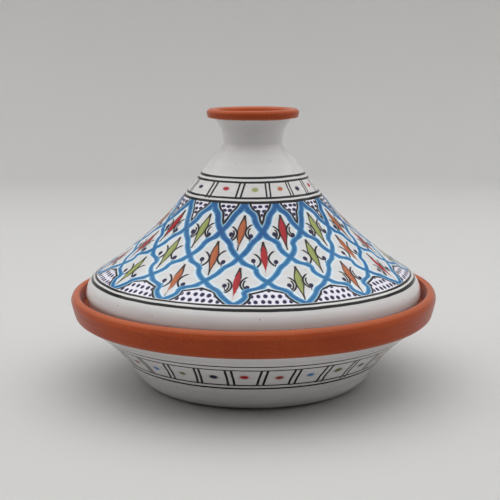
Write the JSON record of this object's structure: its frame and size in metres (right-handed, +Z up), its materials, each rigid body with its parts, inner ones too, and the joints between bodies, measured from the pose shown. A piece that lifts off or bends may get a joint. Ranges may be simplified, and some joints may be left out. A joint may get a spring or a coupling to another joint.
{
  "type": "tagine pot",
  "caption": "Round footed earthenware cooking dish with a raised collar and a tall flared cone lid topped by a cup-shaped knob.",
  "frame": {"origin": "centre of the circle that the foot stands on, on the table plane", "axes": "+Z up along the wheel's axis, -Y towards the side that is seen from the front, +X to the right seen from the front"},
  "size_m": [0.31, 0.31, 0.2316],
  "materials": {
    "terracotta": "bare fired clay, matt",
    "luting_slip": "matt",
    "tin_glaze": "gloss white glaze, painted in blue, black, red, green and orange",
    "inside_glaze": "gloss white glaze, plain"
  },
  "bodies": {
    "dish": {"bowl_body": "terracotta", "rim_collar": "terracotta", "collar_slip_joint": "luting_slip", "bowl_outer_glaze": "tin_glaze", "bowl_inner_glaze": "inside_glaze"},
    "lid": {"lid_cone": "terracotta", "knob_cup": "terracotta", "knob_slip_joint": "luting_slip", "lid_outer_glaze": "tin_glaze", "lid_inner_glaze": "inside_glaze", "knob_cup_glaze": "inside_glaze"}
  },
  "joints": [
    {"name": "lid_lift", "type": "slide", "parent": "dish", "child": "lid", "axis": [0, 0, 1], "range_m": [0, 0.2]}
  ]
}
